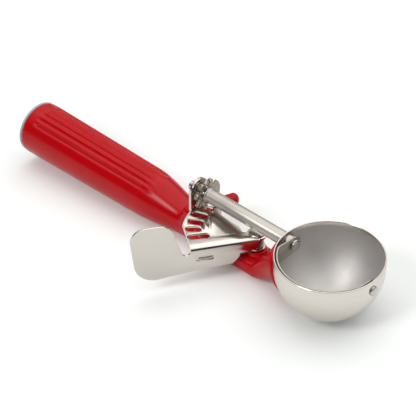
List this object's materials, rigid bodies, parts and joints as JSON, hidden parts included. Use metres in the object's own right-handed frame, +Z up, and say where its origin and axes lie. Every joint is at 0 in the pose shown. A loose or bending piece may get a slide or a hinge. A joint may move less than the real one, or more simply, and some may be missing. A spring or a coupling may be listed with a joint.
{
  "type": "lever ice cream scoop",
  "caption": "Ice cream scoop with a round steel bowl, whose scraper blade is swept by a thumb lever through a slotted sector and a star pinion, on a ribbed moulded grip.",
  "frame": {"origin": "middle of the end cap's flat outer face, on the grip's axis", "axes": "+X along the grip towards the bowl, +Z up towards the bowl's open mouth, the thumb lever stands out to -Y"},
  "size_m": [0.2243, 0.0797, 0.043],
  "materials": {
    "red_plastic": "glossy moulded plastic",
    "grey_plastic": "satin moulded plastic",
    "polished_steel": "polished stainless steel",
    "turned_steel": "turned stainless steel",
    "spring_steel": "drawn spring steel"
  },
  "bodies": {
    "frame": {"handle": "red_plastic", "end_cap": "grey_plastic", "shaft_bracket": "polished_steel", "lever_pin": "turned_steel", "ear_washer": "turned_steel", "peen_washer": "turned_steel", "return_spring": "spring_steel", "bowl": "polished_steel", "bowl_studs": "turned_steel", "front_rivet": "turned_steel", "front_washer": "turned_steel", "front_ring": "spring_steel"},
    "shaft": {"shaft_tube": "polished_steel", "drive_rod": "turned_steel", "pinion": "turned_steel", "pinion_spacer": "turned_steel", "rear_clip": "spring_steel", "scraper_blade": "polished_steel", "rod_nut": "turned_steel"},
    "lever": {"thumb_lever": "polished_steel"}
  },
  "joints": [
    {"name": "lever_pivot", "type": "hinge", "parent": "frame", "child": "lever", "pos_m": [0.15148, 0.001, 0.01255], "axis": [0, 0, -1], "range_deg": [0, 42.8], "stiffness_Nm_per_rad": 0.12, "springref_deg": -20.05, "deforming": ["return_spring"]},
    {"name": "shaft_spin", "type": "hinge", "parent": "frame", "child": "shaft", "pos_m": [0.11998, 0, 0.02005], "axis": [1, 0, 0], "range_deg": [0, 180]}
  ],
  "couplings": [
    {"joint": "shaft_spin", "follows": "lever_pivot", "ratio": 4.2}
  ]
}
